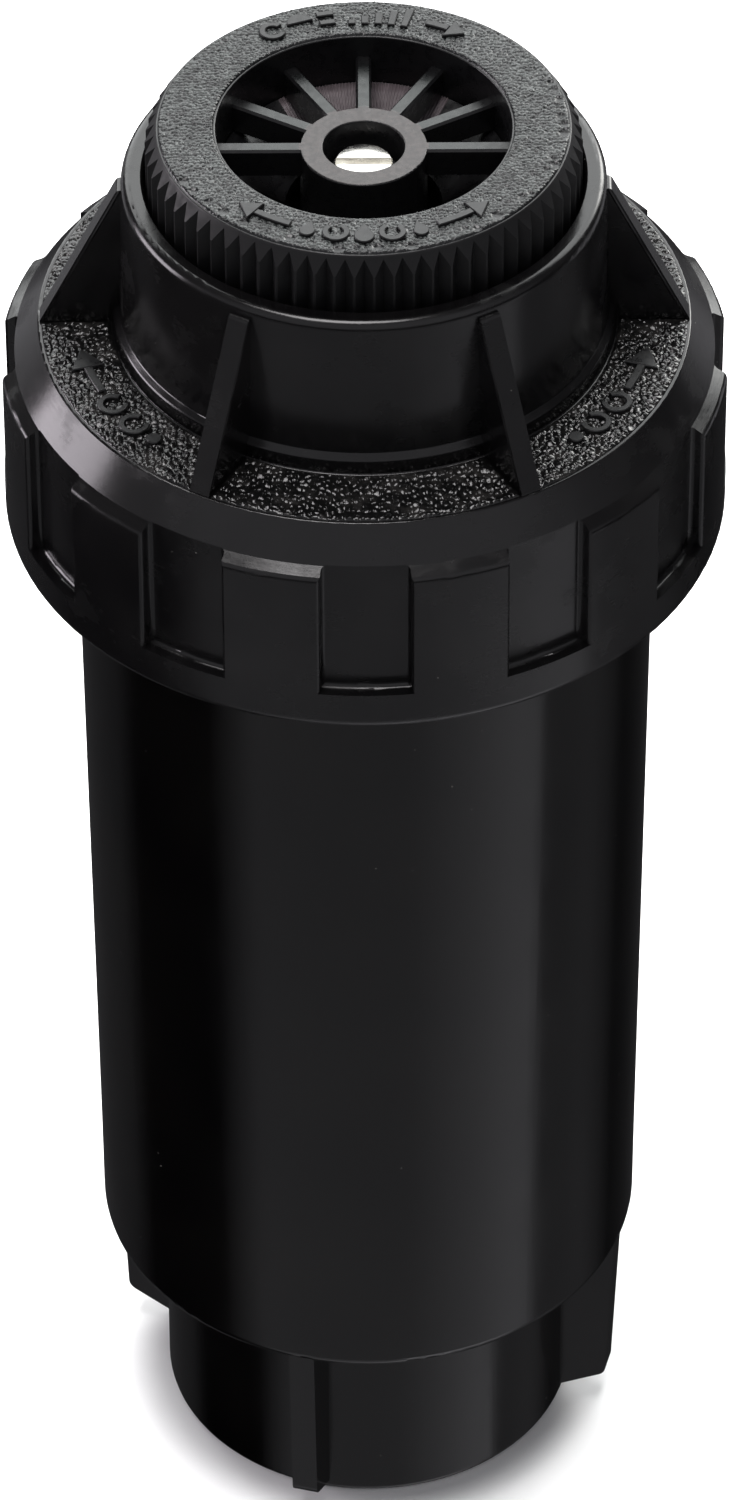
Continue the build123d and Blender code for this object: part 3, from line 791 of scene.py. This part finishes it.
def softbox(name, place, target, width, height, radiance, colour):
    """A rectangular lamp that shines from place towards target with an even radiance."""
    lamp = bpy.data.lights.new(name, "AREA")
    lamp.shape = "RECTANGLE"
    lamp.size = width
    lamp.size_y = height
    lamp.energy = radiance * width * height * math.pi
    lamp.color = colour
    box = bpy.data.objects.new(name, lamp)
    bpy.context.scene.collection.objects.link(box)
    box.location = place
    box.rotation_euler = (Vector(target) - Vector(place)).to_track_quat("-Z", "Y").to_euler()
    box.visible_camera = False


def make_world():
    """Dark surroundings with a low pale band in front, soft strips behind and a pale front sky.

    The camera itself sees plain white.
    """
    world = bpy.data.worlds.new("studio")
    bpy.context.scene.world = world
    world.use_nodes = True
    tree = world.node_tree
    tree.nodes.clear()

    def math_node(operation, *values):
        made = tree.nodes.new("ShaderNodeMath")
        made.operation = operation
        for value, socket in zip(values, made.inputs):
            if isinstance(value, bpy.types.NodeSocket):
                tree.links.new(value, socket)
            else:
                socket.default_value = value
        return made.outputs[0]

    def ramp(value, stops):
        """A curve through (position, brightness) stops."""
        made = tree.nodes.new("ShaderNodeValToRGB")
        tree.links.new(value, made.inputs[0])
        elements = made.color_ramp.elements
        while len(elements) < len(stops):
            elements.new(1)
        for element, (position, bright) in zip(elements, stops):
            element.position = position
            element.color = (bright, bright, bright, 1)
        return made.outputs[0]

    direction = tree.nodes.new("ShaderNodeTexCoord").outputs["Generated"]
    split = tree.nodes.new("ShaderNodeSeparateXYZ")
    tree.links.new(direction, split.inputs[0])
    x, y, z = split.outputs
    # Turn about the object: 0 in front, positive to the right
    turn = math_node("ARCTAN2", x, math_node("MULTIPLY", y, -1.0))
    share = math_node("MULTIPLY_ADD", turn, 1 / math.tau, 0.5)
    upness = math_node("MULTIPLY_ADD", z, 0.5, 0.5)
    low_band = [
        (-180, 0.03), (-122, 0.035), (-108, 0.0), (-66, 0.0), (-46, 0.23), (18, 0.23),
        (62, 0.46), (74, 0.46), (78, 0.11), (104, 0.1), (128, 0.01), (180, 0.03),
    ]
    back_strips = [
        (-180, 0.16), (-158, 0.12), (-150, 0.5), (-126, 0.5), (-116, 0.04), (-60, 0.04),
        (60, 0.04), (104, 0.04), (114, 0.6), (142, 0.5), (152, 0.14), (180, 0.16),
    ]
    low = ramp(share, [(angle / 360 + 0.5, bright) for angle, bright in low_band])
    strips = ramp(share, [(angle / 360 + 0.5, bright) for angle, bright in back_strips])
    high_band = [(-180, 0.05), (-90, 0.1), (-50, 0.55), (50, 0.55), (90, 0.1), (180, 0.05)]
    high = ramp(share, [(angle / 360 + 0.5, bright) for angle, bright in high_band])
    below = ramp(upness, [(0.04, 2.2), (0.16, 1.2), (0.3, 1), (0.44, 0)])
    above = ramp(upness, [(0.5, 0), (0.62, 1), (0.9, 1), (1.0, 0.3)])
    beside = ramp(upness, [(0.26, 0), (0.33, 1), (0.45, 1), (0.52, 0)])
    strength = math_node("ADD", math_node("MULTIPLY", low, below), math_node("MULTIPLY", high, above))
    strength = math_node("ADD", strength, math_node("MULTIPLY", strips, beside))
    dark = tree.nodes.new("ShaderNodeBackground")
    dark.inputs["Color"].default_value = (0.96, 0.95, 1.0, 1)
    tree.links.new(strength, dark.inputs["Strength"])
    pale = tree.nodes.new("ShaderNodeBackground")
    pale.inputs["Color"].default_value = (1, 1, 1, 1)
    chosen = tree.nodes.new("ShaderNodeMixShader")
    tree.links.new(tree.nodes.new("ShaderNodeLightPath").outputs["Is Camera Ray"], chosen.inputs[0])
    tree.links.new(dark.outputs[0], chosen.inputs[1])
    tree.links.new(pale.outputs[0], chosen.inputs[2])
    tree.links.new(chosen.outputs[0], tree.nodes.new("ShaderNodeOutputWorld").inputs["Surface"])


def make_lights(floor):
    middle = (0, 0, 0.1)
    softbox("back_wall", (0.05, 0.65, 0.5), middle,
            width=1.3, height=0.8, radiance=3.4, colour=(0.98, 1.0, 1.0))
    softbox("left_low_box", (-0.6, 0.12, 0.18), middle,
            width=0.32, height=0.28, radiance=8.0, colour=(1.0, 0.93, 1.0))
    softbox("right_back_box", (0.36, 0.5, 0.34), middle,
            width=0.16, height=0.24, radiance=8.0, colour=(1.0, 0.98, 0.93))
    softbox("overhead", (-0.08, -0.03, 0.85), middle,
            width=0.3, height=0.36, radiance=10.0, colour=(1.0, 0.97, 0.98))
    sun = bpy.data.lights.new("paper_light", "SUN")
    sun.energy = 4.6
    sun.angle = math.radians(25)
    lamp = bpy.data.objects.new("paper_light", sun)
    bpy.context.scene.collection.objects.link(lamp)
    paper = bpy.data.collections.new("paper_only")
    paper.objects.link(floor)
    lamp.light_linking.receiver_collection = paper


def make_camera():
    """Looks down from in front, from far off with a long lens."""
    look_down = math.radians(41.40)
    roll = math.radians(-0.26)
    data = bpy.data.cameras.new("camera")
    data.sensor_width = 36
    data.lens = 221.4
    camera = bpy.data.objects.new("camera", data)
    bpy.context.scene.collection.objects.link(camera)
    tilt = Matrix.Rotation(math.pi / 2 - look_down, 4, "X") @ Matrix.Rotation(roll, 4, "Z")
    place = (0, -0.5009, 0.5028)
    camera.matrix_world = Matrix.Translation(place) @ tilt
    bpy.context.scene.camera = camera


make_world()
make_lights(make_floor())
make_camera()
bpy.context.scene.view_settings.view_transform = "Standard"
